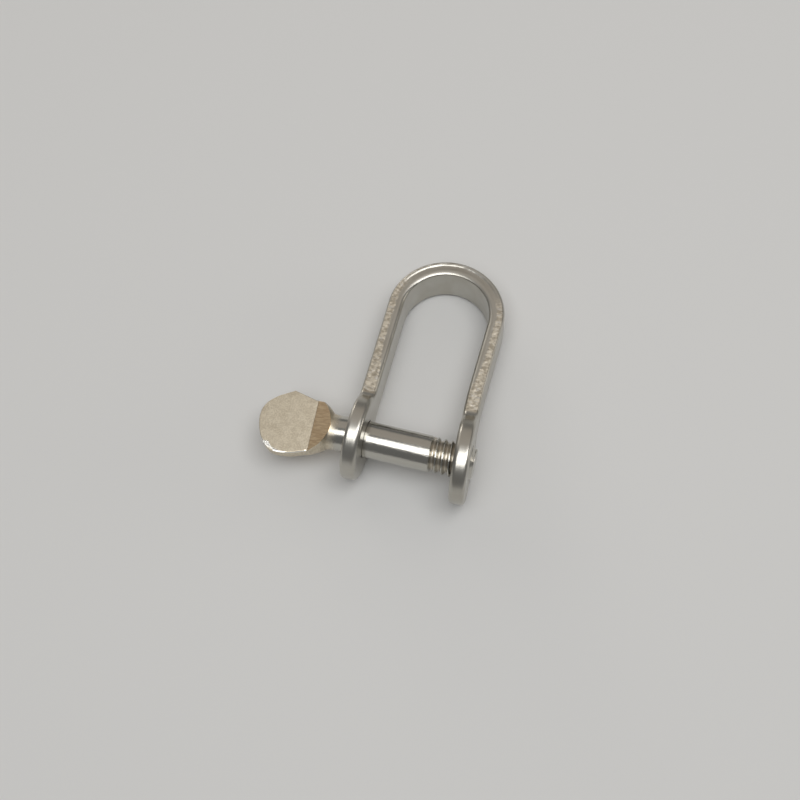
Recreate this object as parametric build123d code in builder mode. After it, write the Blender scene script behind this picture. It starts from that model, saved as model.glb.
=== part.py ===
from build123d import *
from math import atan2, asin, cos, degrees, hypot, radians, sin, tan
import os

# Strip D-shackle with a paddle-headed screw pin, in millimetres.
# The origin is on the pin's axis, midway between the two eyes of the bow.
# +X runs along the pin from the head to the tapped eye, +Y towards the crown and +Z up.
# The shackle lies as it rests on a table: on the rims of both eyes and on the crown's lower edge.

# Driving dimensions of the bow
strip_width = 5.0
strip_thickness = 1.83
eye_diameter = 9.83
eye_neck_radius = 1.67
jaw_width = 10.42
bend_inner_radius = 5.08
bend_centre_distance = 17.0
edge_rounding = 0.38
hole_chamfer = 0.25

# The tapped leg is not quite straight: the bend is closed a little too far,
# and the leg is set outwards again on its way to the eye.
overbend_angle = 1.0
set_start_distance = 9.17
set_radius = 57.5
eye_flare_angle = 4.0

# Driving dimensions of the pin, whose No. 8-32 thread is a plain cylinder at its pitch diameter
shank_diameter = 4.17
neck_diameter = 3.83
thread_pitch_diameter = 3.65
thread_running_gap = 0.05
plain_hole_diameter = 4.58
thread_start = 2.46
tip_position = 7.5
tip_chamfer = 0.42
shoulder_position = -5.21
shoulder_chamfer = 0.17

# The pressed head: a round bar end squeezed between two flat dies with a sloped edge
paddle_radius = 3.83
paddle_far_centre = -14.0
paddle_near_centre = -13.58
paddle_thickness = 1.67
paddle_edge_rounding = 0.1
taper_angle = 28.0
taper_fillet = 2.5
ramp_foot = -11.42
ramp_angle = 26.1
ramp_run = 2.8

# Derived sizes of the bow
eye_radius = eye_diameter / 2
half_jaw = jaw_width / 2
half_thickness = strip_thickness / 2
bow_reach = bend_centre_distance + bend_inner_radius + strip_thickness
strip_overrun = 1.0

# Rest angle: the crown's rounded lower edge and the rims of the eyes touch one level surface.
crown_arm = bow_reach - edge_rounding
crown_half_width = strip_width / 2 - edge_rounding
rest_angle = degrees(
    asin((eye_radius - edge_rounding) / hypot(crown_arm, crown_half_width))
    - atan2(crown_half_width, crown_arm)
)

# The bow's own plane, tipped so that the crown end hangs down to the table,
# and the plane that looks along the pin, in which the strip's outline is drawn.
bow_plane = Plane(
    origin=(0, 0, 0),
    x_dir=(1, 0, 0),
    z_dir=(0, sin(radians(rest_angle)), cos(radians(rest_angle))),
)
outline_plane = Plane(origin=(0, 0, 0), x_dir=bow_plane.y_dir, z_dir=(1, 0, 0))


def runs_round_the_strip(face):
    """True for the sheared rim of the strip, which stands square to its two broad faces."""
    if face.geom_type == GeomType.PLANE:
        return abs(face.normal_at().dot(bow_plane.z_dir)) > 0.99
    return abs(face.axis_of_rotation.direction.X) > 0.99


def is_drilled(face, radius):
    """True for a round wall of the given radius along the pin's axis."""
    return face.geom_type == GeomType.CYLINDER and abs(face.radius - radius) < 0.001


with BuildPart() as bow:
    # One strip of even thickness, seen along its width, as it runs from eye to eye.
    with BuildSketch(bow_plane):
        with BuildLine() as middle_of_strip:
            plain_leg = Line(
                (-half_jaw - half_thickness, -eye_radius - strip_overrun),
                (-half_jaw - half_thickness, bend_centre_distance),
            )
            crown = JernArc(
                plain_leg @ 1,
                plain_leg % 1,
                bend_inner_radius + half_thickness,
                -(180 + overbend_angle),
            )
            straight_run = ((crown @ 1).Y - set_start_distance) / cos(radians(overbend_angle))
            tapped_leg = Line(crown @ 1, crown @ 1 + (crown % 1) * straight_run)
            outward_set = JernArc(
                tapped_leg @ 1,
                tapped_leg % 1,
                set_radius,
                overbend_angle + eye_flare_angle,
            )
            eye_run = (outward_set @ 1).Y + eye_radius + strip_overrun
            Line(outward_set @ 1, outward_set @ 1 + (outward_set % 1) * eye_run)
        trace(line_width=strip_thickness)
    extrude(amount=eye_radius, both=True)

    # The blank's outline: a parallel strip with a round eye at each end.
    with BuildSketch(outline_plane) as blank_outline:
        with Locations(((bow_reach + strip_overrun) / 2, 0)):
            Rectangle(bow_reach + strip_overrun, strip_width)
        Circle(eye_radius)
        fillet(blank_outline.vertices().group_by(Axis.X)[0], eye_neck_radius)
    extrude(amount=jaw_width, both=True, mode=Mode.INTERSECT)

    # Tumbled edges, all the way round both broad faces.
    rim = bow.faces().filter_by(runs_round_the_strip)
    fillet(rim.edges().filter_by(Axis.X, reverse=True), edge_rounding)

    # The plain hole in the eye next to the head, and the tapped bore in the other eye.
    plain_hole_radius = plain_hole_diameter / 2
    tapped_bore_radius = thread_pitch_diameter / 2 + thread_running_gap
    with BuildSketch(Plane.YZ):
        Circle(plain_hole_radius)
    extrude(amount=-jaw_width, mode=Mode.SUBTRACT)
    with BuildSketch(Plane.YZ):
        Circle(tapped_bore_radius)
    extrude(amount=jaw_width, mode=Mode.SUBTRACT)
    for hole_radius in (plain_hole_radius, tapped_bore_radius):
        wall = bow.faces().filter_by(lambda face: is_drilled(face, hole_radius))
        mouths = wall.edges().filter_by(GeomType.LINE, reverse=True)
        chamfer(mouths, hole_chamfer)

bow.part.label = "bow"


with BuildPart() as screw_pin:
    # The pin turned about its axis: round head, tapered neck, plain shank and threaded end.
    neck_radius = neck_diameter / 2
    shank_radius = shank_diameter / 2
    thread_radius = thread_pitch_diameter / 2
    with BuildSketch(Plane.XY) as pin_outline:
        with BuildLine():
            far_edge = CenterArc((paddle_far_centre, 0), paddle_radius, 180, -90)
            broad_side = Line(far_edge @ 1, (paddle_near_centre, paddle_radius))
            near_edge = CenterArc((paddle_near_centre, 0), paddle_radius, 90, -taper_angle)
            taper_run = ((near_edge @ 1).Y - neck_radius) / sin(radians(taper_angle))
            taper = Line(near_edge @ 1, near_edge @ 1 + (near_edge % 1) * taper_run)
            Polyline(
                taper @ 1,
                (shoulder_position, neck_radius),
                (shoulder_position, shank_radius),
                (thread_start, shank_radius),
                (thread_start, thread_radius),
                (tip_position, thread_radius),
                (tip_position, 0),
                far_edge @ 0,
            )
        make_face()
        corners = pin_outline.vertices()
        fillet(corners.sort_by_distance((*(taper @ 1),))[0], taper_fillet)
        chamfer(corners.sort_by_distance((shoulder_position, shank_radius))[0], shoulder_chamfer)
        chamfer(corners.sort_by_distance((tip_position, thread_radius))[0], tip_chamfer)
    revolve(axis=Axis.X)

    # The head is pressed flat from above and below, with a ramp up to the neck.
    head_end = paddle_far_centre - 2 * paddle_radius
    clear_height = 2 * shank_diameter
    flat = paddle_thickness / 2
    ramp_end = ramp_foot + ramp_run
    ramp_height = flat + ramp_run * tan(radians(ramp_angle))
    with BuildSketch(Plane.XZ):
        Polygon(
            (head_end, -flat),
            (ramp_foot, -flat),
            (ramp_end, -ramp_height),
            (ramp_end, -clear_height),
            (tip_position, -clear_height),
            (tip_position, clear_height),
            (ramp_end, clear_height),
            (ramp_end, ramp_height),
            (ramp_foot, flat),
            (head_end, flat),
            align=None,
        )
    extrude(amount=paddle_radius * 2, both=True, mode=Mode.INTERSECT)

    # The pressed faces' edges are slightly rounded.
    paddle_rims = [
        edge
        for side in (-flat, flat)
        for edge in screw_pin.edges().filter_by_position(Axis.Z, side, side)
        if edge.geom_type != GeomType.LINE or edge.center().Y ** 2 > neck_radius**2
    ]
    fillet(paddle_rims, paddle_edge_rounding)

screw_pin.part.label = "screw_pin"


os.makedirs("parts", exist_ok=True)
export_step(bow.part, "parts/bow.step")
export_step(screw_pin.part, "parts/screw_pin.step")
print("rest angle", round(rest_angle, 3), "degrees")
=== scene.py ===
"""A small strip shackle with a paddle-headed screw pin, made the way the real one is.

The bow is a flat blank that is cut out, tumbled, drilled and folded to a U. The pin is a bar that is
turned, pressed flat at one end between two dies and threaded at the other. Everything is in metres, in
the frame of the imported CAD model: +X along the pin, +Y towards the crown and +Z up. Only outlines, the
worn slope's centre, the camera's place and lens and the finishes' masks are written in millimetres.
"""
import logging
from collections.abc import Callable, Iterator
from contextlib import contextmanager
from dataclasses import dataclass
from enum import Enum
from itertools import pairwise, product
from math import atan2, cos, pi, radians, sin, sqrt, tan
from typing import Any

import bmesh
import bpy
from mathutils import Matrix, Vector


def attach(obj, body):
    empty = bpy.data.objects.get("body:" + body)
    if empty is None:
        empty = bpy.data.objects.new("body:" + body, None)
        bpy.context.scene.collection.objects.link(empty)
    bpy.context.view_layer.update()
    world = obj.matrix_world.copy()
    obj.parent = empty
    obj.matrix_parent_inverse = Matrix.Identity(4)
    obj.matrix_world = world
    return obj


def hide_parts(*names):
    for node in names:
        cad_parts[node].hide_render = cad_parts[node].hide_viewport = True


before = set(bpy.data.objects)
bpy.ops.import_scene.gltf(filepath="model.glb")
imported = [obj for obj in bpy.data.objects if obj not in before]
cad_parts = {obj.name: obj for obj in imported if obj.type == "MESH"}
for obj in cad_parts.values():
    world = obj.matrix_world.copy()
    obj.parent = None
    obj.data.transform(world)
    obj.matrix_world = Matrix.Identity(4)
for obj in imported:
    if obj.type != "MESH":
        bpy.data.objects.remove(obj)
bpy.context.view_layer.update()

MM = 0.001
NEAR = 0.01 * MM
ALONG_X = Vector((1, 0, 0))
ALONG_Y = Vector((0, 1, 0))
ALONG_Z = Vector((0, 0, 1))
Pair = tuple[float, float]
Triple = tuple[float, float, float]
Socket = bpy.types.NodeSocket
Values = dict[int | str, Any]
log = logging.getLogger("shackle")


def in_metres(outline: tuple[Pair, ...], height: float = 0.0) -> list[Vector]:
    """Returns the points of an outline in millimetres as places in metres, all at one height."""
    return [Vector((x * MM, y * MM, height)) for x, y in outline]


class Domain(Enum):
    """The elements that a selection in edit mode is made of."""

    VERTEX = "VERT"
    EDGE = "EDGE"


class Workpiece:
    """One mesh on the bench: drawn with a pen, shaped in edit mode and finished with modifiers."""

    def __init__(self, name: str, start: Vector) -> None:
        """Puts down a single vertex, where the drawing of the piece begins.

        Args:
            name: Name of the object and of its mesh.
            start: Place of the vertex.
        """
        bpy.ops.object.select_all(action="DESELECT")
        bpy.ops.mesh.primitive_plane_add(size=MM, location=start)
        bpy.ops.object.transform_apply(location=True)
        self.obj: bpy.types.Object = bpy.context.object
        self.obj.name = self.obj.data.name = name
        self.tip = start.copy()
        with self.editing(Domain.VERTEX):
            bpy.ops.mesh.select_all(action="SELECT")
            bpy.ops.mesh.merge(type="CENTER")

    @contextmanager
    def editing(self, domain: Domain) -> Iterator[None]:
        """Opens the piece in edit mode, with its last selection, and closes it again.

        Args:
            domain: The elements that are selected meanwhile.
        """
        self.take()
        bpy.ops.object.mode_set(mode="EDIT")
        bpy.ops.mesh.select_mode(type=domain.value)
        yield
        bpy.ops.object.mode_set(mode="OBJECT")

    def take(self) -> None:
        """Makes this piece the selected and active one."""
        bpy.ops.object.select_all(action="DESELECT")
        self.obj.select_set(True)
        bpy.context.view_layer.objects.active = self.obj

    def line_to(self, *points: Vector) -> None:
        """Draws straight lines from the pen's place, in edit mode.

        Args:
            points: The corners that the line runs through.
        """
        for point in points:
            bpy.ops.mesh.extrude_vertices_move(TRANSFORM_OT_translate={"value": point - self.tip})
            self.tip = point.copy()

    def outline(self, *points: Vector) -> None:
        """Draws straight lines through the points and back to where the pen is, in edit mode.

        Args:
            points: The other corners of the closed outline.
        """
        self.line_to(*points, self.tip.copy())
        self.weld()

    def arc(self, centre: Vector, axis: Vector, angle: float, steps: int) -> None:
        """Draws an arc from the pen's place, in edit mode.

        Args:
            centre: Centre of the arc.
            axis: Axis that the pen turns round, by the right-hand rule.
            angle: Angle of the arc.
            steps: Number of straight steps in it.
        """
        bpy.ops.mesh.spin(steps=steps, angle=-angle, center=centre, axis=axis)
        self.tip = centre + Matrix.Rotation(angle, 3, axis) @ (self.tip - centre)

    def revolve(self, axis: Vector, steps: int) -> None:
        """Turns the drawn outline round an axis through the origin, in edit mode.

        Args:
            axis: Axis of the solid.
            steps: Number of flats round it.
        """
        bpy.ops.mesh.select_all(action="SELECT")
        bpy.ops.mesh.spin(steps=steps, angle=2 * pi, center=(0, 0, 0), axis=axis)
        self.weld()

    def thicken(self, move: Vector) -> None:
        """Fills the closed outline that is selected and pulls it out to a solid, in edit mode.

        Args:
            move: From the outline to the solid's other side.
        """
        bpy.ops.mesh.edge_face_add()
        bpy.ops.mesh.extrude_region_move(TRANSFORM_OT_translate={"value": move})
        self.weld()

    def select_vertices(self, wanted: Callable[[Vector], bool]) -> None:
        """Selects the vertices that pass a test, in edit mode, and nothing else.

        Args:
            wanted: Test on a vertex's place.
        """
        bpy.ops.mesh.select_mode(type=Domain.VERTEX.value)
        bpy.ops.mesh.select_all(action="DESELECT")
        mesh = bmesh.from_edit_mesh(self.obj.data)
        for vertex in mesh.verts:
            vertex.select_set(wanted(vertex.co))
        bmesh.update_edit_mesh(self.obj.data)

    def select_edges(self, wanted: Callable[[Vector, Vector], bool]) -> None:
        """Selects the edges that pass a test, in edit mode, and nothing else.

        Args:
            wanted: Test on an edge's middle and on its run from one end to the other.
        """
        bpy.ops.mesh.select_mode(type=Domain.EDGE.value)
        bpy.ops.mesh.select_all(action="DESELECT")
        mesh = bmesh.from_edit_mesh(self.obj.data)
        for edge in mesh.edges:
            first, last = (vertex.co for vertex in edge.verts)
            edge.select_set(wanted((first + last) / 2, last - first))
        bmesh.update_edit_mesh(self.obj.data)

    def weld(self, distance: float = 0.0005 * MM) -> None:
        """Merges doubled vertices and turns every face outwards, in edit mode.

        Args:
            distance: Largest gap between vertices that become one.
        """
        bpy.ops.mesh.select_all(action="SELECT")
        bpy.ops.mesh.remove_doubles(threshold=distance)
        bpy.ops.mesh.normals_make_consistent(inside=False)

    def modify(self, kind: str, **settings: Any) -> None:
        """Adds a modifier, sets it and applies it.

        Args:
            kind: Blender's name of the modifier.
            settings: Its settings.
        """
        self.take()
        modifier = self.obj.modifiers.new(kind.title(), kind)
        for name, value in settings.items():
            setattr(modifier, name, value)
        bpy.ops.object.modifier_apply(modifier=modifier.name)

    def cut_with(self, tool: "Workpiece") -> None:
        """Cuts a tool's shape out of the piece and puts the tool away.

        Args:
            tool: A closed mesh.
        """
        self.modify("BOOLEAN", object=tool.obj, operation="DIFFERENCE", solver="EXACT")
        bpy.data.objects.remove(tool.obj, do_unlink=True)

    def smooth(self, angle: float) -> None:
        """Shades the piece smooth except over its sharp edges, and keeps its flat faces flat.

        Args:
            angle: Edges sharper than this stay sharp.
        """
        self.take()
        bpy.ops.object.shade_smooth_by_angle(angle=angle)
        self.modify("WEIGHTED_NORMAL", keep_sharp=True)


class Signal:
    """A number that varies over a surface, with Python's arithmetic on it."""

    def __init__(self, graph: "Graph", socket: Socket) -> None:
        """Wraps a node's output.

        Args:
            graph: The material that the node is in.
            socket: The output.
        """
        self.graph = graph
        self.socket = socket

    def _math(self, operation: str, *operands: "Signal | float") -> "Signal":
        """Returns the result of one Math node on the operands."""
        node = self.graph.node("ShaderNodeMath", {"operation": operation}, dict(enumerate(operands)))
        return Signal(self.graph, node.outputs[0])

    def __add__(self, other: "Signal | float") -> "Signal":
        """Returns the sum."""
        return self._math("ADD", self, other)

    __radd__ = __add__

    def __sub__(self, other: "Signal | float") -> "Signal":
        """Returns the difference."""
        return self._math("SUBTRACT", self, other)

    def __rsub__(self, other: float) -> "Signal":
        """Returns the difference from a plain number."""
        return self._math("SUBTRACT", other, self)

    def __mul__(self, other: "Signal | float") -> "Signal":
        """Returns the product."""
        return self._math("MULTIPLY", self, other)

    __rmul__ = __mul__

    def __abs__(self) -> "Signal":
        """Returns the size without its sign."""
        return self._math("ABSOLUTE", self)

    def __pow__(self, other: float) -> "Signal":
        """Returns the power."""
        return self._math("POWER", self, other)

    def most(self, other: "Signal | float") -> "Signal":
        """Returns the larger of the two."""
        return self._math("MAXIMUM", self, other)

    def rise(self, start: float, end: float) -> "Signal":
        """Makes a soft step between two levels.

        Args:
            start: The level at which the step is 0.
            end: The level at which it is 1, which may be the lower one.

        Returns:
            The step.
        """
        low, high = min(start, end), max(start, end)
        inputs = {"Value": self, "From Min": low, "From Max": high}
        node = self.graph.node("ShaderNodeMapRange", {"interpolation_type": "SMOOTHSTEP"}, inputs)
        step = Signal(self.graph, node.outputs["Result"])
        return step if start < end else 1 - step


class Graph:
    """A material's node tree, and the one way to add nodes to it."""

    def __init__(self, name: str) -> None:
        """Starts an empty material.

        Args:
            name: Name of the material.
        """
        self.material = bpy.data.materials.new(name)
        self.material.use_nodes = True
        self.tree = self.material.node_tree
        self.tree.nodes.clear()

    def node(self, kind: str, settings: Values | None = None, inputs: Values | None = None) -> bpy.types.Node:
        """Adds a node.

        Args:
            kind: Blender's name of its type.
            settings: Its settings, set before anything is linked.
            inputs: Values, signals or output sockets for its inputs, by name or number.

        Returns:
            The node.
        """
        node = self.tree.nodes.new(kind)
        for name, value in (settings or {}).items():
            setattr(node, name, value)
        for key, value in (inputs or {}).items():
            if isinstance(value, Signal):
                value = value.socket
            if isinstance(value, Socket):
                self.tree.links.new(value, node.inputs[key])
            else:
                node.inputs[key].default_value = value
        return node

    def millimetres(self, attribute: str | None = None) -> Socket:
        """Reads the surface's place.

        Args:
            attribute: Name of a vector that the piece carries, or None for its own coordinates.

        Returns:
            The place in millimetres.
        """
        if attribute is None:
            place = self.node("ShaderNodeTexCoord").outputs["Object"]
        else:
            place = self.node("ShaderNodeAttribute", {"attribute_name": attribute}).outputs["Vector"]
        scaled = self.node("ShaderNodeVectorMath", {"operation": "SCALE"}, {0: place, "Scale": 1 / MM})
        return scaled.outputs[0]

    def parts(self, place: Socket) -> list[Signal]:
        """Returns the three components of a place as signals."""
        node = self.node("ShaderNodeSeparateXYZ", inputs={0: place})
        return [Signal(self, output) for output in node.outputs]

    def noise(self, place: Socket, scale: float, detail: float, along: Triple | None = None) -> Signal:
        """Makes soft noise between about 0.2 and 0.8.

        Args:
            place: Where the noise is read.
            scale: Cells in one unit of the place.
            detail: Number of finer layers.
            along: How many times faster it changes along each axis.

        Returns:
            The noise.
        """
        if along:
            inputs = {0: place, 1: along}
            place = self.node("ShaderNodeVectorMath", {"operation": "MULTIPLY"}, inputs).outputs[0]
        inputs = {"Vector": place, "Scale": scale, "Detail": detail}
        return Signal(self, self.node("ShaderNodeTexNoise", inputs=inputs).outputs[0])

    def blend(self, factor: Signal, first: Any, second: Any) -> Socket:
        """Mixes two colours, each given as numbers or as the output that carries it.

        Args:
            factor: 0 for the first colour and 1 for the second.
            first: The first colour.
            second: The second colour.

        Returns:
            The colour between them.
        """
        first, second = ((*c, 1.0) if isinstance(c, tuple) else c for c in (first, second))
        node = self.node("ShaderNodeMix", {"data_type": "RGBA"}, {0: factor, 6: first, 7: second})
        return node.outputs[2]

    def metal(self, colour: Any, roughness: Signal, height: Signal, depth: float) -> bpy.types.Material:
        """Closes the material with a metal surface.

        Args:
            colour: Output that gives the colour.
            roughness: Roughness over the surface.
            height: Relief over the surface, from 0 to 1.
            depth: Depth of the relief in metres.

        Returns:
            The material.
        """
        bump = self.node("ShaderNodeBump", inputs={"Strength": 1.0, "Distance": depth, "Height": height})
        inputs = {"Base Color": colour, "Metallic": 1.0, "Roughness": roughness, "Normal": bump.outputs[0]}
        surface = self.node("ShaderNodeBsdfPrincipled", inputs=inputs)
        self.node("ShaderNodeOutputMaterial", inputs={"Surface": surface.outputs[0]})
        return self.material


@dataclass(frozen=True)
class StripFinish:
    """Tumbled stainless strip with torn edge faces along the legs."""

    clean: Triple = (0.52, 0.505, 0.46)
    dull: Triple = (0.45, 0.425, 0.37)
    torn: Triple = (0.72, 0.665, 0.56)
    torn_dark: Triple = (0.43, 0.385, 0.31)
    # Near-white specks on the torn faces: smoother points, painted brighter as glints.
    worn_glint: Triple = (0.80, 0.785, 0.74)
    edge_band: Pair = (0.15, 0.05)
    leg_fade: float = 0.2
    crown_fade: Pair = (1.5, 4.0)
    eye_fade: Pair = (7.0, 1.0)
    widening: float = 0.75
    torn_from: Pair = (-0.12, 0.08)
    torn_to: Pair = (0.80, 0.62)
    relief_depth: float = 0.02 * MM

    def dress(self, bow: "Bow") -> bpy.types.Material:
        """Makes the bow's material.

        Args:
            bow: The bow, whose sizes place the torn faces.

        Returns:
            The material.
        """
        graph = Graph("tumbled_strip_steel")
        place = graph.millimetres(Bow.FLAT_PLACE)
        along, through, across = graph.parts(place)
        half_width = bow.strip_width / 2 / MM
        edge_face = abs(across).rise(half_width - self.edge_band[0], half_width - self.edge_band[1])
        first, last = (station / MM for station in bow.torn_run)
        legs = along.rise(first - self.leg_fade, first) * along.rise(last + self.leg_fade, last)
        bend_start, bend_end = (bow.stations[name] / MM for name in ("crown_start", "crown_end"))
        start, full = self.crown_fade
        crown = along.rise(bend_start + start, bend_start + full)
        crown = crown * along.rise(bend_end - start, bend_end - full)

        cloud = graph.noise(place, 0.35, 3.0)
        mottle = graph.noise(place, 1.7, 2.0, (1.7, 1.0, 1.0))
        grain = graph.noise(place, 4.0, 3.0, (1.6, 1.0, 0.6))
        speck = graph.noise(place, 1.5, 2.0, (2.6, 0.9, 1.0)).rise(0.56, 0.68)
        scratches = graph.noise(place, 1.0, 3.0, (0.5, 14.0, 14.0))

        far, near = self.eye_fade
        near_eye = along.rise(first + far, first + near).most(along.rise(last - far, last - near))
        ragged = through + 0.5 * (mottle - 0.5) + self.widening * near_eye
        torn = edge_face * legs * (1 - crown) * ragged.rise(*self.torn_from) * through.rise(*self.torn_to)
        colour = graph.blend(cloud.rise(0.35, 0.7) * 0.6, self.clean, self.dull)
        torn_colour = graph.blend(mottle.rise(0.35, 0.65), self.torn_dark, self.torn)
        colour = graph.blend(torn, colour, torn_colour)
        # Painted glints: near-white specks on the torn faces, which are also made smoother below.
        colour = graph.blend(torn * speck * 0.7, colour, self.worn_glint)
        roughness = 0.22 + 0.06 * cloud + 0.10 * scratches + torn * (0.16 - 0.14 * speck)
        height = scratches * 0.05 + grain * (0.04 + torn * 0.45) + mottle * torn * 0.5
        return graph.metal(colour, roughness, height, self.relief_depth)


@dataclass(frozen=True)
class PinFinish:
    """Drawn stainless bar: matt pressed paddle, warm brown ramps that are partly heat tint and partly a
    painted warm reflection, bright shank, and rougher thread roots painted a little lighter to lift their
    shade.
    """

    paddle: Triple = (0.55, 0.48, 0.365)
    paddle_light: Triple = (0.70, 0.63, 0.50)
    scuffed: Triple = (0.86, 0.82, 0.73)
    bare: Triple = (0.92, 0.90, 0.84)
    # The ramps' warm brown is partly heat tint from pressing and partly a painted warm reflection of a brown
    # surround.
    ramp: Triple = (0.72, 0.53, 0.33)
    ramp_light: Triple = (0.90, 0.72, 0.49)
    shank: Triple = (0.53, 0.515, 0.47)
    # The thread grooves are painted a little lighter and warmer than the shank, to lift the shade that falls
    # in them.
    root: Triple = (0.58, 0.54, 0.47)
    ramp_skin: Pair = (0.05, 0.02)
    ramp_fade: Pair = (-0.02, 0.1)
    head_fade: float = 0.6
    bare_from: Pair = (0.015, 0.04)
    bare_to: Pair = (0.32, 0.20)
    bare_end: Pair = (-0.1, -0.2)
    thread_fade: float = 0.1
    root_band: Pair = (0.04, 0.25)
    relief_depth: float = 0.02 * MM

    def dress(self, pin: "ScrewPin") -> bpy.types.Material:
        """Makes the screw pin's material.

        Args:
            pin: The pin, whose sizes place its different finishes.

        Returns:
            The material.
        """
        graph = Graph("drawn_and_pressed_steel")
        place = graph.millimetres()
        along, side, up = graph.parts(place)
        flat = pin.paddle_thickness / 2 / MM
        fold = along + side * sin(pin.fold_angle) - pin.ramp_foot / MM
        ramp_height = fold * tan(pin.ramp_angle) + flat
        ramp_face = abs(abs(up) - ramp_height).rise(*self.ramp_skin)
        ramp_end = (pin.ramp_foot + pin.ramp_run) / MM
        head = along.rise(ramp_end + self.head_fade, ramp_end - self.head_fade)
        radius = (side * side + up * up) ** 0.5

        mottle = graph.noise(place, 1.1, 3.0)
        grain = graph.noise(place, 5.5, 3.0, (1.0, 1.0, 0.2))
        flow = graph.noise(place, 1.6, 4.0, (0.45, 4.0, 1.0))
        drawn = graph.noise(place, 1.0, 3.0, (0.30, 9.0, 9.0))
        scuffs = graph.noise(place, 6.0, 2.0, (1.0, 1.6, 1.0)).rise(0.60, 0.72)
        pits = graph.noise(place, 1.8, 4.0, (1.1, 2.4, 2.4))

        on_ramp = ramp_face * fold.rise(*self.ramp_fade)
        sunk = flat - up
        bare = sunk.rise(*self.bare_from) * sunk.rise(*self.bare_to) * fold.rise(*self.bare_end)
        # Painted warm reflection, with some heat tint: the ramps get a warm brown, streaked along the pin.
        ramp_tint_and_reflection = graph.blend(flow.rise(0.40, 0.68), self.ramp, self.ramp_light)
        pressed = graph.blend((0.4 * mottle + 0.6 * grain).rise(0.36, 0.64), self.paddle, self.paddle_light)
        pressed = graph.blend(scuffs * 0.5, pressed, self.scuffed)
        pressed = graph.blend(bare, pressed, self.bare)
        pressed = graph.blend(on_ramp, pressed, ramp_tint_and_reflection)
        colour = graph.blend(head, self.shank, pressed)

        thread_start, crest = pin.thread_start / MM, pin.crest_radius / MM
        thread_end = (pin.tip - pin.tip_chamfer) / MM
        threaded = along.rise(thread_start - self.thread_fade, thread_start + self.thread_fade)
        threaded = threaded * along.rise(thread_end, thread_end - self.thread_fade)
        # Painted light in the thread grooves: a lighter, warmer colour that lifts their shade. The grooves
        # are also made rougher.
        in_root = threaded * radius.rise(crest - self.root_band[0], crest - self.root_band[1])
        colour = graph.blend(in_root, colour, self.root)

        roughness = 0.12 + 0.14 * drawn + head * (1 - bare) * (0.16 + 0.10 * grain) + in_root * 0.10
        bar_relief = drawn * 0.25 + pits * 0.45
        paddle_relief = 0.25 * mottle + 0.30 * grain
        height = bar_relief * (1 - head) + head * paddle_relief + on_ramp * 0.4 * flow
        return graph.metal(colour, roughness, height, self.relief_depth)


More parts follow.
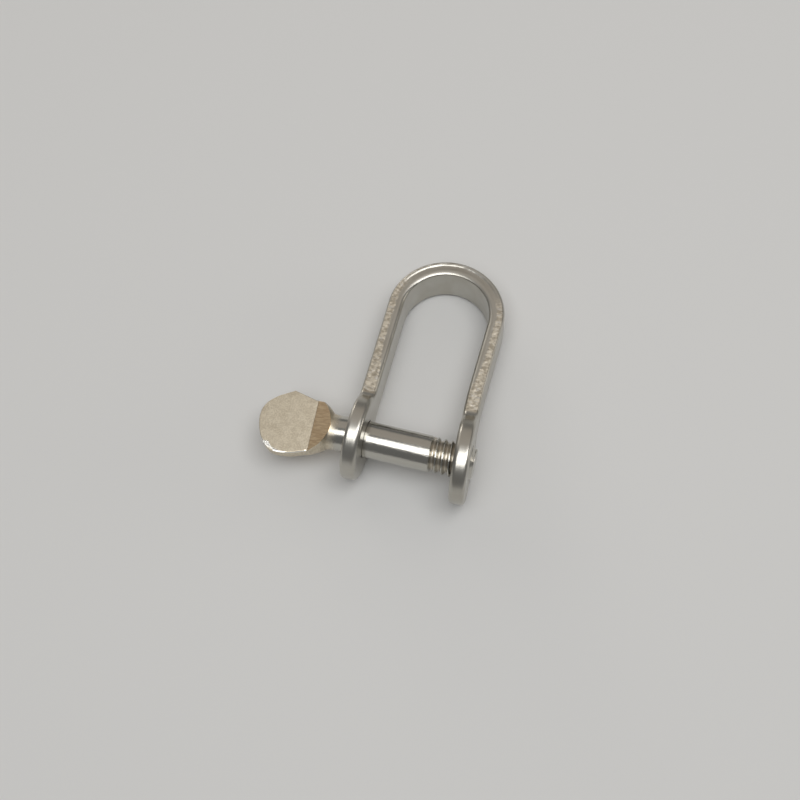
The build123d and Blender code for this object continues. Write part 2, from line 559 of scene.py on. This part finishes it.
@dataclass
class Bow:
    """The bow: one strip with an eye at each end, folded to a U.

    The crown's profile gives places through the strip, from its inner face on, and how far the edge
    face stands out there.
    """

    FLAT_PLACE = "flat_place"

    strip_width: float = 5.0 * MM
    strip_thickness: float = 1.83 * MM
    outer_rounding: float = 0.38 * MM
    inner_rounding: float = 0.52 * MM
    eye_radius: float = 4.915 * MM
    tapped_eye_stretch: float = 0.42 * MM
    floor_margin: float = 1.1
    neck_radius: float = 1.67 * MM
    plain_hole_radius: float = 2.16 * MM
    tapped_bore_radius: float = 2.1 * MM
    hole_chamfer: float = 0.06 * MM
    jaw_width: float = 10.42 * MM
    bend_inner_radius: float = 5.08 * MM
    bend_centre_distance: float = 17.0 * MM
    overbend: float = radians(1.0)
    set_start: float = 9.17 * MM
    set_radius: float = 57.5 * MM
    eye_flare: float = radians(4.0)
    rest_angle: float = radians(5.919)
    lead: float = 7.0 * MM
    plain_eye_gap: float = 4.7 * MM
    tapped_eye_gap: float = 5.25 * MM
    tear_depth: float = 0.06 * MM
    tear_grain: float = 0.34 * MM
    tear_stretch: float = 1.7
    tear_level: float = 0.8
    tear_brightness: float = 0.9
    torn_from: float = -0.2 * MM
    crown_profile: tuple[Pair, ...] = (
        (-0.915, 0.15), (-0.897, 0.25), (-0.845, 0.175), (-0.763, 0.10), (-0.655, 0.05), (-0.53, 0.015),
        (-0.30, 0.02), (0.15, -0.02), (0.25, -0.035), (0.43, 0.045), (0.60, 0.06), (0.75, 0.05),
        (0.915, 0.0),
    )
    crown_peak: float = 0.085 * MM
    crown_fade: float = 4.0 * MM
    crown_passes: int = 8
    sharp_angle: float = radians(32.0)
    finish: StripFinish = StripFinish()

    @property
    def mid_radius(self) -> float:
        """Radius of the crown at the middle of the strip."""
        return self.bend_inner_radius + self.strip_thickness / 2

    @property
    def tapped_near_radius(self) -> float:
        """Radius of the longer tapped eye on its neck's side, which keeps it clear of the floor."""
        return self.eye_radius - self.floor_margin * self.tapped_eye_stretch * sin(self.rest_angle)

    @property
    def stations(self) -> dict[str, float]:
        """Distances along the flat blank, from the start of the fold line."""
        bend_end = self.mid_radius * sin(self.overbend)
        straight = (self.bend_centre_distance - bend_end - self.set_start) / cos(self.overbend)
        turn = self.overbend + self.eye_flare
        drop = self.set_radius * (sin(self.overbend) + sin(self.eye_flare))
        last_run = (self.set_start - drop) / cos(self.eye_flare)
        crown_start = self.lead + self.bend_centre_distance
        crown_end = crown_start + self.mid_radius * (pi + self.overbend)
        set_start = crown_end + straight
        set_end = set_start + self.set_radius * turn
        return {
            "plain_eye": self.lead,
            "crown_start": crown_start,
            "crown_end": crown_end,
            "set_start": set_start,
            "set_end": set_end,
            "tapped_eye": set_end + last_run,
        }

    @property
    def torn_run(self) -> Pair:
        """Where the torn edge faces start and end along the blank."""
        stations = self.stations
        return stations["plain_eye"] + self.plain_eye_gap, stations["tapped_eye"] - self.tapped_eye_gap

    def neck_reach(self, radius: float) -> float:
        """Returns how far the neck of an eye with this radius ends from the eye's centre."""
        return sqrt((radius + self.neck_radius) ** 2 - (self.strip_width / 2 + self.neck_radius) ** 2)

    def build(self) -> bpy.types.Object:
        """Makes the bow from the flat blank to the folded and dressed piece.

        Returns:
            The bow's object.
        """
        blank = self._cut_blank()
        self._divide(blank)
        stations = self.stations
        self._drill(blank, stations["plain_eye"], self.plain_hole_radius, 0.0)
        self._drill(blank, stations["tapped_eye"], self.tapped_bore_radius, self.eye_flare)
        self._tear_edges(blank)
        self._pinch_crown(blank)
        self._keep_flat_place(blank)
        self._fold(blank)
        blank.smooth(self.sharp_angle)
        blank.obj.data.materials.append(self.finish.dress(self))
        return blank.obj

    def _cut_blank(self) -> Workpiece:
        """Draws half the blank's outline, mirrors it, thickens it and tumbles its edges.

        Returns:
            The flat blank, along X, with its thickness along Y and its width along Z.
        """
        stations = self.stations
        first, last = stations["plain_eye"], stations["tapped_eye"]
        near = last - self.tapped_eye_stretch
        low = -self.strip_thickness / 2
        neck_height = self.strip_width / 2 + self.neck_radius
        first_reach = self.neck_reach(self.eye_radius)
        first_angle = atan2(neck_height, first_reach)
        near_reach = self.neck_reach(self.tapped_near_radius)
        near_angle = atan2(neck_height, near_reach)
        eye_steps, neck_steps, rounds = 48, 10, 6

        blank = Workpiece("bow_strip", Vector((first - self.eye_radius, low, 0)))
        with blank.editing(Domain.VERTEX):
            blank.arc(Vector((first, low, 0)), ALONG_Y, pi - first_angle, eye_steps)
            neck = Vector((first + first_reach, low, neck_height))
            blank.arc(neck, ALONG_Y, first_angle - pi / 2, neck_steps)
            blank.line_to(Vector((near - near_reach, low, self.strip_width / 2)))
            neck = Vector((near - near_reach, low, neck_height))
            blank.arc(neck, ALONG_Y, near_angle - pi / 2, neck_steps)
            blank.arc(Vector((near, low, 0)), ALONG_Y, pi / 2 - near_angle, eye_steps // 3)
            blank.line_to(Vector((last, low, self.eye_radius)))
            blank.arc(Vector((last, low, 0)), ALONG_Y, pi / 2, eye_steps // 2)
            bpy.ops.mesh.select_all(action="SELECT")
            bpy.ops.mesh.duplicate_move()
            bpy.ops.transform.resize(value=(1, 1, -1), center_override=(0, 0, 0))
            blank.weld()
            blank.thicken(ALONG_Y * self.strip_thickness)
            for face, rounding in ((-low, self.outer_rounding), (low, self.inner_rounding)):
                blank.select_edges(lambda middle, run: abs(middle.y - face) < NEAR)
                bpy.ops.mesh.bevel(offset=rounding, segments=rounds, affect="EDGES", clamp_overlap=False)
            blank.weld()
        return blank

    def _divide(self, blank: Workpiece) -> None:
        """Cuts the blank's long runs and its edge faces finely enough to be folded and torn.

        Args:
            blank: The flat blank.
        """
        stations = self.stations
        plain_neck = stations["plain_eye"] + self.neck_reach(self.eye_radius)
        tapped_centre = stations["tapped_eye"] - self.tapped_eye_stretch
        tapped_neck = tapped_centre - self.neck_reach(self.tapped_near_radius)
        bend_start, bend_end = stations["crown_start"], stations["crown_end"]
        inward = 0.002 * MM
        long_run = 5 * MM
        leg_cuts, crown_cuts, face_cuts = 99, 90, 9
        runs = (
            (plain_neck, bend_start, leg_cuts),
            (bend_start, bend_end, crown_cuts),
            (bend_end, tapped_neck, leg_cuts),
        )
        with blank.editing(Domain.EDGE):
            for station in (bend_start, bend_end, plain_neck + inward, tapped_neck - inward):
                bpy.ops.mesh.select_all(action="SELECT")
                bpy.ops.mesh.bisect(plane_co=(station, 0, 0), plane_no=ALONG_X)
            for start, end, cuts in runs:
                blank.select_edges(lambda middle, run: start < middle.x < end and abs(run.x) > long_run)
                bpy.ops.mesh.subdivide(number_cuts=cuts)
            face_height = self.strip_thickness - self.outer_rounding - self.inner_rounding
            blank.select_edges(lambda middle, run: abs(abs(run.y) - face_height) < NEAR)
            bpy.ops.mesh.subdivide(number_cuts=face_cuts)

    def _drill(self, blank: Workpiece, station: float, radius: float, lean: float) -> None:
        """Drills one eye, with a small chamfer at both mouths.

        Args:
            blank: The flat blank.
            station: Distance of the hole along the blank.
            radius: Radius of the hole.
            lean: Angle between the hole and the strip's own normal.
        """
        half, over, flutes = self.strip_thickness / 2, 0.5 * MM, 96
        wide = radius + self.hole_chamfer + over
        drill = Workpiece("drill", Vector((0, -half - over, 0)))
        with drill.editing(Domain.VERTEX):
            drill.line_to(
                Vector((wide, -half - over, 0)),
                Vector((radius, self.hole_chamfer - half, 0)),
                Vector((radius, half - self.hole_chamfer, 0)),
                Vector((wide, half + over, 0)),
                Vector((0, half + over, 0)),
            )
            drill.revolve(ALONG_Y, flutes)
        drill.obj.location.x = station
        drill.obj.rotation_euler.z = -lean
        blank.cut_with(drill)

    def _tear_edges(self, blank: Workpiece) -> None:
        """Roughens the outer half of the edge faces along the legs, as shearing leaves them.

        Args:
            blank: The flat blank.
        """
        first, last = self.torn_run
        edge = self.strip_width / 2
        with blank.editing(Domain.VERTEX):
            blank.select_vertices(
                lambda place: first < place.x < last
                and abs(place.z) > edge - NEAR
                and place.y > self.torn_from
            )
            group = blank.obj.vertex_groups.new(name="torn")
            bpy.ops.object.vertex_group_assign()
        texture = bpy.data.textures.new("torn_metal", "CLOUDS")
        texture.noise_scale = self.tear_grain
        texture.noise_depth = 2
        texture.intensity = self.tear_brightness
        self._stretch(blank, self.tear_stretch)
        pattern = {"texture": texture, "texture_coords": "LOCAL", "vertex_group": group.name}
        blank.modify("DISPLACE", mid_level=self.tear_level, strength=self.tear_depth, **pattern)
        self._stretch(blank, 1 / self.tear_stretch)

    @staticmethod
    def _stretch(blank: Workpiece, factor: float) -> None:
        """Stretches the blank along its length.

        Args:
            blank: The flat blank.
            factor: How many times longer it becomes.
        """
        with blank.editing(Domain.VERTEX):
            bpy.ops.mesh.select_all(action="SELECT")
            bpy.ops.transform.resize(value=(factor, 1, 1), center_override=(0, 0, 0))

    def _pinch_crown(self, blank: Workpiece) -> None:
        """Swells the crown's edge faces as folding does, the lower one less, to keep it off the floor.

        Args:
            blank: The flat blank.
        """
        stations = self.stations
        half_width, edge_reach, row_reach = self.strip_width / 2, 1.0 * MM, 0.005 * MM
        rows = sorted({round(vertex.co.y, 5) for vertex in blank.obj.data.vertices})
        with blank.editing(Domain.VERTEX):
            for row, side in product(rows, (1, -1)):
                lift = self._crown_lift(row) - (self.crown_peak if side < 0 else 0)
                share = 1 + lift / half_width / self.crown_passes
                for turn in range(self.crown_passes):
                    inset = self.crown_fade * turn / (self.crown_passes - 1)
                    first, last = stations["crown_start"] + inset, stations["crown_end"] - inset
                    blank.select_vertices(
                        lambda place: first < place.x < last
                        and abs(place.y - row) < row_reach
                        and place.z * side > half_width - edge_reach
                    )
                    bpy.ops.transform.resize(value=(1, 1, share), center_override=(0, 0, 0))

    def _crown_lift(self, through: float) -> float:
        """Reads the crown's profile between its points.

        Args:
            through: A place through the strip's thickness.

        Returns:
            How far the edge face stands out there.
        """
        points = [(place * MM, lift * MM) for place, lift in self.crown_profile]
        if through <= points[0][0]:
            return points[0][1]
        for (start, low), (end, high) in pairwise(points):
            if through <= end:
                return low + (high - low) * (through - start) / (end - start)
        return points[-1][1]

    def _keep_flat_place(self, blank: Workpiece) -> None:
        """Stores each vertex's place on the flat blank, which the material's patterns follow.

        Args:
            blank: The flat blank.
        """
        mesh = blank.obj.data
        flat = [0.0] * (3 * len(mesh.vertices))
        mesh.vertices.foreach_get("co", flat)
        mesh.attributes.new(self.FLAT_PLACE, "FLOAT_VECTOR", "POINT").data.foreach_set("vector", flat)

    def _fold(self, blank: Workpiece) -> None:
        """Folds the blank to a U along its middle line, and tips it as it rests.

        Args:
            blank: The flat blank.
        """
        stations = self.stations
        bend_steps, set_steps = 181, 40
        leg_x = -(self.jaw_width + self.strip_thickness) / 2
        crown_centre = Vector((leg_x + self.mid_radius, self.bend_centre_distance, 0))
        line = Workpiece("fold_line", Vector((leg_x, -self.lead, 0)))
        with line.editing(Domain.VERTEX):
            line.line_to(Vector((leg_x, self.bend_centre_distance, 0)))
            line.arc(crown_centre, ALONG_Z, -(pi + self.overbend), bend_steps)
            heading = Vector((-sin(self.overbend), -cos(self.overbend), 0))
            straight = stations["set_start"] - stations["crown_end"]
            line.line_to(line.tip + heading * straight)
            outward = Vector((cos(self.overbend), -sin(self.overbend), 0))
            turn = self.overbend + self.eye_flare
            line.arc(line.tip + outward * self.set_radius, ALONG_Z, turn, set_steps)
            heading = Vector((sin(self.eye_flare), -cos(self.eye_flare), 0))
            last_run = stations["tapped_eye"] - stations["set_end"] + self.lead
            line.line_to(line.tip + heading * last_run)
        line.take()
        bpy.ops.object.convert(target="CURVE")
        line.obj = bpy.context.object
        curve = line.obj.data
        curve.dimensions = "3D"
        curve.twist_mode = "Z_UP"
        if curve.splines[0].points[0].co.x > 0:
            bpy.ops.object.mode_set(mode="EDIT")
            bpy.ops.curve.select_all(action="SELECT")
            bpy.ops.curve.switch_direction()
            bpy.ops.object.mode_set(mode="OBJECT")
        blank.modify("CURVE", object=line.obj, deform_axis="POS_X")
        bpy.data.objects.remove(line.obj, do_unlink=True)
        blank.take()
        blank.obj.rotation_euler.x = -self.rest_angle
        bpy.ops.object.transform_apply(rotation=True)


@dataclass
class ScrewPin:
    """The screw pin: pressed paddle head, neck, plain shank and threaded end.

    The taper is given by places along the pin and radii, the other outlines as seen from above.
    """

    shank_radius: float = 2.085 * MM
    neck_radius: float = 2.04 * MM
    shoulder: float = -5.21 * MM
    shoulder_chamfer: float = 0.045 * MM
    thread_start: float = 2.46 * MM
    thread_lead: float = 0.05 * MM
    thread_turns: int = 7
    pitch: float = 0.794 * MM
    crest_radius: float = 2.05 * MM
    root_radius: float = 1.70 * MM
    groove_half_width: float = 0.345 * MM
    root_half_width: float = 0.05 * MM
    tip: float = 7.5 * MM
    tip_chamfer: float = 0.42 * MM
    head_centre: float = -14.0 * MM
    head_radius: float = 4.3 * MM
    head_end: float = -20 * MM
    taper: tuple[Pair, ...] = (
        (-11.78, 3.55), (-11.20, 3.29), (-10.85, 3.07), (-10.50, 2.90), (-10.15, 2.69), (-9.85, 2.48),
        (-9.60, 2.27), (-9.47, 2.165), (-9.36, 2.085), (-9.24, 2.055), (-8.95, 2.045), (-8.60, 2.04),
        (-8.00, 2.04), (-7.20, 2.04),
    )
    paddle_offset: float = -0.21 * MM
    paddle_offset_reach: float = 2.5 * MM
    neck_sag: Triple = (0.0, -0.07 * MM, -0.04 * MM)
    neck_sag_run: Pair = (-9.6 * MM, -8.6 * MM)
    neck_sag_reach: float = 1.3 * MM
    paddle_corners: tuple[Pair, ...] = (
        (-10.40, 2.80), (-10.70, 2.80), (-11.00, 2.82), (-11.40, 2.88), (-11.80, 2.95), (-14.525, 3.55),
        (-16.158, 2.558),
    )
    paddle_curve: tuple[Pair, ...] = (
        (-17.125, 1.75), (-17.65, 0.85), (-17.79, 0.0), (-17.68, -0.95), (-17.32, -2.05), (-16.82, -2.95),
        (-16.10, -3.68), (-15.15, -4.11), (-13.90, -4.05), (-12.75, -3.74), (-11.85, -3.38),
        (-11.20, -3.14), (-10.60, -2.97), (-10.10, -2.92),
    )
    trim_share: float = 46
    paddle_thickness: float = 1.67 * MM
    paddle_edge_rounding: float = 0.12 * MM
    ramp_foot: float = -11.45 * MM
    ramp_angle: float = radians(28.8)
    ramp_run: float = 2.8 * MM
    fold_angle: float = radians(3.0)
    worn_centre: Pair = (-13.95, 0.45)
    worn_radius: float = 4.27 * MM
    worn_slope: float = radians(16.0)
    worn_sweep: Pair = (radians(-150.0), radians(-54.0))
    nick: tuple[Pair, ...] = (
        (-15.90, -3.10), (-16.45, -3.12), (-16.85, -4.6), (-14.95, -4.6), (-15.15, -4.0),
    )
    nick_drop: float = 0.05 * MM
    nick_slope: float = radians(19.0)
    nick_fall: Triple = (-0.15, -0.99, 0.0)
    sharp_angle: float = radians(28.0)
    finish: PinFinish = PinFinish()

    def build(self) -> bpy.types.Object:
        """Makes the pin from the turned bar to the dressed piece.

        Returns:
            The pin's object.
        """
        pin = self._turn_bar()
        self._trim_head(pin)
        self._press_head(pin)
        self._wear_rim(pin)
        self._nick_head(pin)
        self._cut_thread(pin)
        pin.smooth(self.sharp_angle)
        pin.obj.data.materials.append(self.finish.dress(self))
        return pin.obj

    def _turn_bar(self) -> Workpiece:
        """Draws half the pin's outline and turns it about X.

        Returns:
            The turned bar with its round head.
        """
        head_steps, flats = 24, 128
        pin = Workpiece("screw_pin_steel", Vector((self.head_centre - self.head_radius, 0, 0)))
        with pin.editing(Domain.VERTEX):
            pin.arc(Vector((self.head_centre, 0, 0)), ALONG_Z, -pi / 2, head_steps)
            pin.line_to(
                *in_metres(self.taper),
                Vector((self.shoulder, self.neck_radius, 0)),
                Vector((self.shoulder + self.shoulder_chamfer, self.shank_radius, 0)),
                Vector((self.thread_start, self.shank_radius, 0)),
                Vector((self.thread_start + self.thread_lead, self.crest_radius, 0)),
                Vector((self.tip - self.tip_chamfer, self.crest_radius, 0)),
                Vector((self.tip, self.crest_radius - self.tip_chamfer, 0)),
                Vector((self.tip, 0, 0)),
            )
            pin.revolve(ALONG_X, flats)
        return pin

    @staticmethod
    def _push(move: Vector, reach: float) -> None:
        """Moves the selected vertices, and draws the metal round them along.

        Args:
            move: How far they move.
            reach: Distance over which the metal follows.
        """
        bpy.ops.transform.translate(
            value=move,
            use_proportional_edit=True,
            proportional_edit_falloff="SMOOTH",
            proportional_size=reach,
        )

    def _trim_head(self, pin: Workpiece) -> None:
        """Pushes head and neck out of line and trims the head to its flats, its corner and its bulge.

        Args:
            pin: The turned bar.
        """
        wide, high, bend_steps = 8 * MM, 6 * MM, 6
        head_edge = self.ramp_foot - 0.4 * MM
        first, last = self.neck_sag_run
        with pin.editing(Domain.VERTEX):
            pin.select_vertices(lambda place: place.x < head_edge)
            self._push(ALONG_Y * self.paddle_offset, self.paddle_offset_reach)
            pin.select_vertices(lambda place: first < place.x < last)
            self._push(Vector(self.neck_sag), self.neck_sag_reach)
        corners = in_metres(self.paddle_corners, -high)
        curve = in_metres(self.paddle_curve, -high)
        tool = Workpiece("trimming_tool", corners[0])
        with tool.editing(Domain.VERTEX):
            tool.outline(
                *corners[1:],
                *curve,
                Vector((curve[-1].x, -wide, -high)),
                Vector((self.head_end, -wide, -high)),
                Vector((self.head_end, wide, -high)),
                Vector((corners[0].x, wide, -high)),
            )
            tool.select_vertices(lambda place: any((place - bend).length < NEAR for bend in curve[:-1]))
            share = {"offset_type": "PERCENT", "offset_pct": self.trim_share}
            bpy.ops.mesh.bevel(segments=bend_steps, affect="VERTICES", **share)
            bpy.ops.mesh.select_all(action="SELECT")
            tool.thicken(ALONG_Z * 2 * high)
        pin.cut_with(tool)

    def _press_head(self, pin: Workpiece) -> None:
        """Presses the head flat from above and from below, between dies with a sloped edge.

        Args:
            pin: The turned bar.
        """
        flat = self.paddle_thickness / 2
        high, wide, scrap, rim_steps = 6 * MM, 6 * MM, 0.02 * MM, 4
        rim_start, level, longest = self.ramp_foot - 0.1 * MM, 0.002 * MM, 1.9 * MM
        ramp_end = self.ramp_foot + self.ramp_run
        profile = (
            (self.head_end, flat),
            (self.ramp_foot, flat),
            (ramp_end, flat + self.ramp_run * tan(self.ramp_angle)),
            (ramp_end, high),
            (self.head_end, high),
        )
        pivot = Vector((self.ramp_foot, 0, 0))
        turn = Matrix.Rotation(self.fold_angle, 4, "Z")
        for side in (1, -1):
            corners = [Vector((x, -wide, side * z)) for x, z in profile]
            die = Workpiece("die", corners[0])
            with die.editing(Domain.VERTEX):
                die.outline(*corners[1:])
                die.thicken(ALONG_Y * 2 * wide)
            die.obj.matrix_world = Matrix.Translation(pivot) @ turn @ Matrix.Translation(-pivot)
            pin.cut_with(die)
        with pin.editing(Domain.VERTEX):
            pin.weld(scrap)
            pin.select_edges(
                lambda middle, run: middle.x < rim_start
                and abs(abs(middle.z) - flat) < level
                and abs(run.y) < longest
            )
            bpy.ops.mesh.bevel(offset=self.paddle_edge_rounding, segments=rim_steps, affect="EDGES")

    def _wear_rim(self, pin: Workpiece) -> None:
        """Wears a narrow slope on the paddle's upper rim, where it stands out furthest.

        Args:
            pin: The pressed pin.
        """
        wide, high, wheel_steps, scrap = 1.2 * MM, 2 * MM, 40, 0.0015 * MM
        first, last = self.worn_sweep
        centre = in_metres((self.worn_centre,))[0]
        outward = Vector((cos(first), sin(first), 0))
        start = centre + outward * self.worn_radius + ALONG_Z * (self.paddle_thickness / 2)
        far = start + outward * wide
        wheel = Workpiece("grinding_wheel", start)
        with wheel.editing(Domain.VERTEX):
            wheel.outline(
                far - ALONG_Z * wide * tan(self.worn_slope),
                far + ALONG_Z * high,
                start + ALONG_Z * high,
            )
            wheel.arc(centre, ALONG_Z, last - first, wheel_steps)
            bpy.ops.mesh.select_all(action="SELECT")
            bpy.ops.mesh.fill_holes(sides=0)
            wheel.weld()
        pin.cut_with(wheel)
        with pin.editing(Domain.VERTEX):
            pin.weld(scrap)

    def _nick_head(self, pin: Workpiece) -> None:
        """Chips the paddle's upper rim once, with a slanting floor.

        Args:
            pin: The pressed pin.
        """
        high = 2 * MM
        top = self.paddle_thickness / 2 - self.nick_drop
        outline = in_metres(self.nick)
        runs = [(place - outline[0]).dot(Vector(self.nick_fall)) for place in outline]
        corners = [p + ALONG_Z * (top - run * tan(self.nick_slope)) for p, run in zip(outline, runs)]
        chisel = Workpiece("chisel", corners[0])
        with chisel.editing(Domain.VERTEX):
            chisel.outline(*corners[1:])
            chisel.thicken(ALONG_Z * high)
        pin.cut_with(chisel)

    def _cut_thread(self, pin: Workpiece) -> None:
        """Cuts the right-hand thread with a helical tool.

        Args:
            pin: The pin.
        """
        steps = 48
        outer = self.crest_radius + 0.25 * MM
        start = self.thread_start + self.thread_lead
        left, right = start - self.groove_half_width, start + self.groove_half_width
        tool = Workpiece("thread_tool", Vector((left, outer, 0)))
        with tool.editing(Domain.VERTEX):
            tool.outline(
                Vector((left, self.crest_radius, 0)),
                Vector((start - self.root_half_width, self.root_radius, 0)),
                Vector((start + self.root_half_width, self.root_radius, 0)),
                Vector((right, self.crest_radius, 0)),
                Vector((right, outer, 0)),
            )
        helix = {"axis": "X", "angle": 2 * pi, "screw_offset": self.pitch, "iterations": self.thread_turns}
        tool.modify("SCREW", steps=steps, render_steps=steps, use_merge_vertices=False, **helix)
        with tool.editing(Domain.EDGE):
            bpy.ops.mesh.select_all(action="SELECT")
            bpy.ops.mesh.fill_holes(sides=0)
            tool.weld()
        pin.cut_with(tool)


@dataclass(frozen=True)
class Lamp:
    """A soft lamp, with the width and height of its lit area and its power in watts."""

    name: str
    place: Triple
    size: Pair
    power: float
    colour: Triple = (1.0, 0.94, 0.86)


@dataclass
class Studio:
    """Pale floor, plain soft light and the photograph's camera."""

    floor_height: float = -4.915 * MM
    floor_size: float = 4.0
    floor_colour: Triple = (0.72, 0.72, 0.71)
    sky_level: float = 0.18
    lamps: tuple[Lamp, ...] = (
        Lamp("key", (0.05, -0.045, 0.45), (0.46, 0.24), 1.25, (1.0, 1.0, 1.0)),
        Lamp("back_fill", (0.0, 0.335, 0.37), (0.55, 0.50), 0.24, (1.0, 0.88, 0.75)),
        Lamp("left_fill", (-0.42, 0.30, 0.28), (0.32, 0.32), 0.18),
        Lamp("low_left_fill", (-0.33, 0.42, 0.11), (0.20, 0.14), 0.24),
        Lamp("right_fill", (0.50, 0.16, 0.11), (0.20, 0.14), 0.20),
    )
    lamp_target: Triple = (0.0, 10 * MM, 0.0)
    camera_place: Triple = (19.052, -46.520, 151.068)
    camera_right: Triple = (0.96626, 0.25227, -0.05196)
    camera_back: Triple = (0.1346, -0.32258, 0.93693)
    focal_length: float = 63.0
    sensor_width: float = 36.0
    nearest: float = 1 * MM

    def build(self) -> None:
        """Sets up the floor, the lights and the camera."""
        self._lay_floor()
        self._light_up()
        self._point_camera()

    def _lay_floor(self) -> None:
        """Lays a wide pale floor under the shackle."""
        bpy.ops.object.select_all(action="DESELECT")
        bpy.ops.mesh.primitive_plane_add(size=self.floor_size, location=(0, 0, self.floor_height))
        floor = bpy.context.object
        floor.name = "floor"
        graph = Graph("pale_floor")
        inputs = {"Base Color": (*self.floor_colour, 1.0), "Roughness": 0.9, "Specular IOR Level": 0.1}
        surface = graph.node("ShaderNodeBsdfPrincipled", inputs=inputs)
        graph.node("ShaderNodeOutputMaterial", inputs={"Surface": surface.outputs[0]})
        floor.data.materials.append(graph.material)

    def _light_up(self) -> None:
        """Adds the plain sky and the soft lamps."""
        world = bpy.data.worlds.new("plain_sky")
        bpy.context.scene.world = world
        world.use_nodes = True
        background = world.node_tree.nodes["Background"]
        background.inputs["Color"].default_value = (1.0, 1.0, 1.0, 1.0)
        background.inputs["Strength"].default_value = self.sky_level
        for lamp in self.lamps:
            self._hang(lamp)

    def _hang(self, lamp: Lamp) -> None:
        """Hangs one lamp so that it shines on the shackle.

        Args:
            lamp: What it is called, and its place, size, power and colour.
        """
        place = Vector(lamp.place)
        bpy.ops.object.select_all(action="DESELECT")
        bpy.ops.object.light_add(type="AREA", location=place)
        light = bpy.context.object
        light.name = lamp.name
        light.data.shape = "RECTANGLE"
        light.data.size, light.data.size_y = lamp.size
        light.data.energy = lamp.power
        light.data.color = lamp.colour
        light.rotation_euler = (place - Vector(self.lamp_target)).to_track_quat("Z", "Y").to_euler()

    def _point_camera(self) -> None:
        """Puts the camera where the photograph was taken from."""
        place = Vector(self.camera_place) * MM
        bpy.ops.object.select_all(action="DESELECT")
        bpy.ops.object.camera_add(location=place)
        camera = bpy.context.object
        back = Vector(self.camera_back).normalized()
        up = back.cross(Vector(self.camera_right)).normalized()
        axes = Matrix((up.cross(back), up, back)).transposed()
        camera.matrix_world = Matrix.Translation(place) @ axes.to_4x4()
        camera.data.lens = self.focal_length
        camera.data.sensor_width = self.sensor_width
        camera.data.clip_start = self.nearest
        bpy.context.scene.camera = camera
        bpy.context.scene.view_settings.view_transform = "Standard"


def main() -> None:
    """Builds the shackle and its studio."""
    logging.basicConfig(level=logging.INFO)
    bow = Bow().build()
    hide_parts("bow")
    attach(bow, "bow")
    log.info("bow: %d faces", len(bow.data.polygons))
    pin = ScrewPin().build()
    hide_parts("screw_pin")
    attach(pin, "pin")
    log.info("screw pin: %d faces", len(pin.data.polygons))
    Studio().build()
    log.info("studio")


if __name__ == "__main__":
    main()
